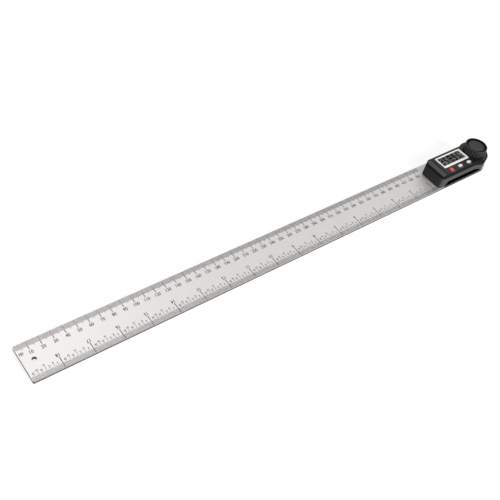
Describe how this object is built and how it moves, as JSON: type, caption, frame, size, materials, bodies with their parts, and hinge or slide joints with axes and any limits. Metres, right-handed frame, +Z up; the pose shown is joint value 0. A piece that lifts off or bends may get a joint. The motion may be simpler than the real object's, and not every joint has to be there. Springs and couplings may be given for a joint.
{
  "type": "angle finder",
  "caption": "Digital angle finder: two stacked steel rule arms on a locking pivot, with a black display head and lock knob on the upper arm.",
  "frame": {"origin": "middle of the closed tool's footprint, on the surface that it lies on", "axes": "+X along the arms towards the pivot end, +Y across them towards the metric edge, +Z up"},
  "size_m": [0.5196, 0.037, 0.028],
  "materials": {
    "blade_steel": "satin, brushed along the arm, etched scales",
    "stud_steel": "turned",
    "nylon": "matte",
    "board_laminate": "solder mask",
    "spring_steel": "plain",
    "brass": "turned",
    "shell_plastic": "fine moulded texture",
    "cover_plastic": "fine moulded texture",
    "face_gloss": "gloss",
    "white_plastic": "satin",
    "clear_window": "clear",
    "display_glass": "dark, light segments",
    "contact_rubber": "matte",
    "chip_epoxy": "matte",
    "screw_steel": "plain",
    "red_plastic": "satin",
    "cell_steel": "bright",
    "knob_plastic": "moulded, fluted",
    "cap_plastic": "moulded disc"
  },
  "bodies": {
    "lower_arm": {"lower_blade": "blade_steel", "pivot_stud": "stud_steel", "slip_washer": "nylon", "encoder_rotor": "board_laminate", "retaining_ring": "spring_steel"},
    "upper_arm": {"upper_blade": "blade_steel", "pivot_bush": "brass", "housing_base": "shell_plastic", "housing_cover": "cover_plastic", "face_plate": "face_gloss", "display_bezel": "white_plastic", "display_lens": "clear_window", "display_panel": "display_glass", "contact_strips": "contact_rubber", "main_board": "board_laminate", "sensor_board": "board_laminate", "board_link_pins": "brass", "control_chip": "chip_epoxy", "switch_bodies": "chip_epoxy", "battery_leaf": "spring_steel", "battery_spring": "spring_steel", "blade_screws": "screw_steel", "cover_screws": "screw_steel", "board_screws": "screw_steel"},
    "power_key": {"power_button": "red_plastic", "power_plunger": "chip_epoxy"},
    "hold_key": {"hold_button": "white_plastic", "hold_plunger": "chip_epoxy"},
    "zero_key": {"zero_button": "white_plastic", "zero_plunger": "chip_epoxy"},
    "battery_slide": {"battery_drawer": "shell_plastic", "coin_cell": "cell_steel"},
    "knob_lift": {"thrust_washer": "stud_steel"},
    "knob_turn": {"lock_knob": "knob_plastic", "knob_insert": "brass", "knob_cap": "cap_plastic"}
  },
  "joints": [
    {"name": "arm_swing", "type": "hinge", "parent": "lower_arm", "child": "upper_arm", "pos_m": [0.2361, -0.00317, 0.0015], "axis": [0, 0, 1], "continuous": true},
    {"name": "power_press", "type": "slide", "parent": "upper_arm", "child": "power_key", "axis": [0, 0, -1], "range_m": [0, 0.0005], "stiffness_N_per_m": 400},
    {"name": "hold_press", "type": "slide", "parent": "upper_arm", "child": "hold_key", "axis": [0, 0, -1], "range_m": [0, 0.0005], "stiffness_N_per_m": 400},
    {"name": "zero_press", "type": "slide", "parent": "upper_arm", "child": "zero_key", "axis": [0, 0, -1], "range_m": [0, 0.0005], "stiffness_N_per_m": 400},
    {"name": "drawer_slide", "type": "slide", "parent": "upper_arm", "child": "battery_slide", "axis": [-1, 0, 0], "range_m": [0, 0.017]},
    {"name": "knob_rise", "type": "slide", "parent": "lower_arm", "child": "knob_lift", "axis": [0, 0, 1], "range_m": [0, 0.001]},
    {"name": "knob_spin", "type": "hinge", "parent": "knob_lift", "child": "knob_turn", "pos_m": [0.2361, -0.00317, 0.0201], "axis": [0, 0, 1], "range_deg": [0, 360]}
  ],
  "couplings": [
    {"joint": "knob_spin", "follows": "knob_rise", "rad_per_m": 6283.2}
  ]
}
